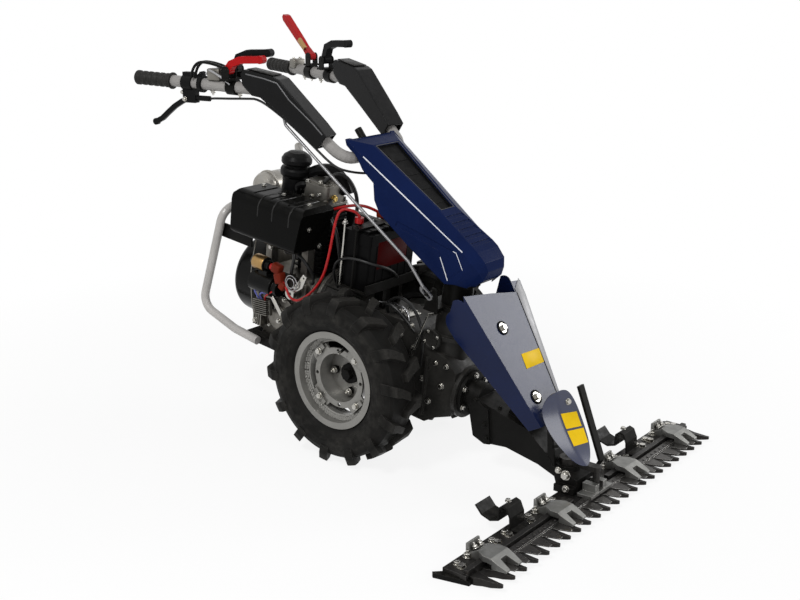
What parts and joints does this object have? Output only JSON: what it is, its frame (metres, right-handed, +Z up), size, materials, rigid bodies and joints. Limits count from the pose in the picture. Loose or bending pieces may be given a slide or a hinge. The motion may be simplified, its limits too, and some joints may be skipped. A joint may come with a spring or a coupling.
{
  "type": "sickle bar mower",
  "caption": "Walk-behind sickle bar mower: diesel tractor block on chevron tyres, with hooded splayed handlebars, control levers and a front finger bar with a sliding knife.",
  "frame": {"origin": "on the ground, in the middle of the machine's length between grips and finger tips, on its centre plane", "axes": "+X forward to the cutter bar, +Y to the operator's left, +Z up"},
  "size_m": [1.5396, 1.196, 1.2213],
  "materials": {
    "tyre_rubber": "matte",
    "silver_steel": "satin silver paint",
    "black_cast": "black paint over cast iron",
    "grey_frame": "satin grey paint",
    "raw_aluminium": "as cast",
    "black_sheet": "gloss black paint",
    "black_plastic": "fine grain",
    "exhaust_steel": "heat-stained",
    "zinc": "bright zinc",
    "red_cover": "satin red",
    "navy_plastic": "gloss moulding",
    "navy_sheet": "gloss paint",
    "grip_rubber": "matte",
    "bar_steel": "dark worked steel",
    "clip_steel": "bare casting"
  },
  "bodies": {
    "chassis": {"gearbox_case": "black_cast", "bell_housing": "black_cast", "engine_frame": "grey_frame", "crankcase": "raw_aluminium", "cylinder": "raw_aluminium", "cylinder_head": "raw_aluminium", "rocker_cover": "raw_aluminium", "fan_cowl": "black_sheet", "fuel_tank": "black_sheet", "air_filter": "black_plastic", "muffler": "exhaust_steel", "starter_motor": "black_sheet", "injection_pump": "raw_aluminium", "battery": "black_plastic", "battery_carrier": "black_sheet", "battery_cable": "red_cover", "bumper": "silver_steel", "bumper_strut": "black_sheet", "mower_arm": "black_cast", "shield_front": "navy_sheet", "shield_side": "navy_sheet", "shield_lower": "navy_sheet", "shield_bolts": "zinc", "guard_strap": "black_sheet", "cutter_bar": "bar_steel", "fingers": "bar_steel", "shoes": "black_sheet", "knife_clips": "clip_steel", "bar_bolts": "zinc"},
    "right_wheel": {"right_tyre": "tyre_rubber", "right_rim": "silver_steel", "right_disc": "silver_steel", "right_hub": "black_cast"},
    "left_wheel": {"left_tyre": "tyre_rubber", "left_rim": "silver_steel", "left_disc": "silver_steel", "left_hub": "black_cast"},
    "knife_bar": {"knife": "bar_steel", "knife_head": "zinc"},
    "knife_drive": {"drive_lever": "zinc"},
    "handlebar": {"column": "black_cast", "hood": "navy_plastic", "hood_panel": "black_plastic", "handlebar_tube": "silver_steel", "right_arm_shell": "black_plastic", "left_arm_shell": "black_plastic", "grips": "grip_rubber", "lever_brackets": "silver_steel", "brake_perch": "black_plastic", "brake_cable": "black_plastic"},
    "clutch": {"clutch_lever": "red_cover"},
    "right_steer": {"right_steer_lever": "black_plastic"},
    "left_steer": {"left_steer_lever": "black_plastic"},
    "brake": {"brake_lever": "black_plastic"},
    "throttle": {"throttle_lever": "black_plastic"},
    "gear": {"gear_lever": "red_cover"},
    "lock": {"lock_lever": "black_plastic"},
    "rod": {"shift_rod": "zinc"},
    "speed": {"speed_lever": "zinc"},
    "cap": {"fuel_cap": "black_plastic"}
  },
  "joints": [
    {"name": "right_wheel_spin", "type": "hinge", "parent": "chassis", "child": "right_wheel", "pos_m": [-0.01887, -0.215, 0.25], "axis": [0, 1, 0], "continuous": true},
    {"name": "left_wheel_spin", "type": "hinge", "parent": "chassis", "child": "left_wheel", "pos_m": [-0.01887, 0.215, 0.25], "axis": [0, 1, 0], "continuous": true},
    {"name": "knife_slide", "type": "slide", "parent": "chassis", "child": "knife_bar", "axis": [0, 1, 0], "range_m": [-0.025, 0.025]},
    {"name": "knife_drive_swing", "type": "hinge", "parent": "chassis", "child": "knife_drive", "pos_m": [0.60913, 0, 0.09], "axis": [0, 0, 1], "range_deg": [-17, 17]},
    {"name": "handlebar_swing", "type": "hinge", "parent": "chassis", "child": "handlebar", "pos_m": [0.22496, 0, 0.45493], "axis": [0.1305, 0, 0.9914], "range_deg": [-15, 15]},
    {"name": "clutch_pull", "type": "hinge", "parent": "handlebar", "child": "clutch", "pos_m": [-0.42327, -0.22904, 1.09335], "axis": [-0.2079, 0.9781, 0], "range_deg": [0, 8], "stiffness_Nm_per_rad": 3, "springref_deg": -11.46},
    {"name": "right_steer_pull", "type": "hinge", "parent": "handlebar", "child": "right_steer", "pos_m": [-0.43117, -0.19187, 1.09335], "axis": [-0.2079, 0.9781, 0], "range_deg": [0, 14], "stiffness_Nm_per_rad": 3, "springref_deg": -11.46},
    {"name": "left_steer_pull", "type": "hinge", "parent": "handlebar", "child": "left_steer", "pos_m": [-0.43117, 0.19187, 1.09335], "axis": [0.2079, 0.9781, 0], "range_deg": [0, 14], "stiffness_Nm_per_rad": 3, "springref_deg": -11.46},
    {"name": "brake_pull", "type": "hinge", "parent": "handlebar", "child": "brake", "pos_m": [-0.58568, -0.24413, 1.00275], "axis": [-0.2079, 0.9781, 0], "range_deg": [0, 28], "stiffness_Nm_per_rad": 1.5, "springref_deg": -11.46},
    {"name": "throttle_turn", "type": "hinge", "parent": "handlebar", "child": "throttle", "pos_m": [-0.53286, -0.23291, 1.04708], "axis": [-0.9776, -0.2078, 0.0349], "range_deg": [-45, 30]},
    {"name": "gear_shift", "type": "hinge", "parent": "handlebar", "child": "gear", "pos_m": [-0.53286, 0.23291, 1.09535], "axis": [0.2079, 0.9781, 0], "range_deg": [-20, 15]},
    {"name": "lock_release", "type": "hinge", "parent": "handlebar", "child": "lock", "pos_m": [-0.11599, 0.028, 0.86335], "axis": [0, 1, 0], "range_deg": [-20, 12]},
    {"name": "rod_slide", "type": "slide", "parent": "handlebar", "child": "rod", "axis": [0.7687, 0.0793, -0.6346], "range_m": [-0.009, 0.002]},
    {"name": "speed_set", "type": "hinge", "parent": "chassis", "child": "speed", "pos_m": [-0.27789, -0.154, 0.43539], "axis": [0, 1, 0], "range_deg": [-15, 12]},
    {"name": "cap_turn", "type": "hinge", "parent": "chassis", "child": "cap", "pos_m": [-0.50368, -0.13, 0.69527], "axis": [-0.9724, 0, 0.2334], "range_deg": [0, 90]}
  ],
  "couplings": [
    {"joint": "knife_drive_swing", "follows": "knife_slide", "rad_per_m": 11.364},
    {"joint": "rod_slide", "follows": "clutch_pull", "m_per_rad": -0.06}
  ]
}
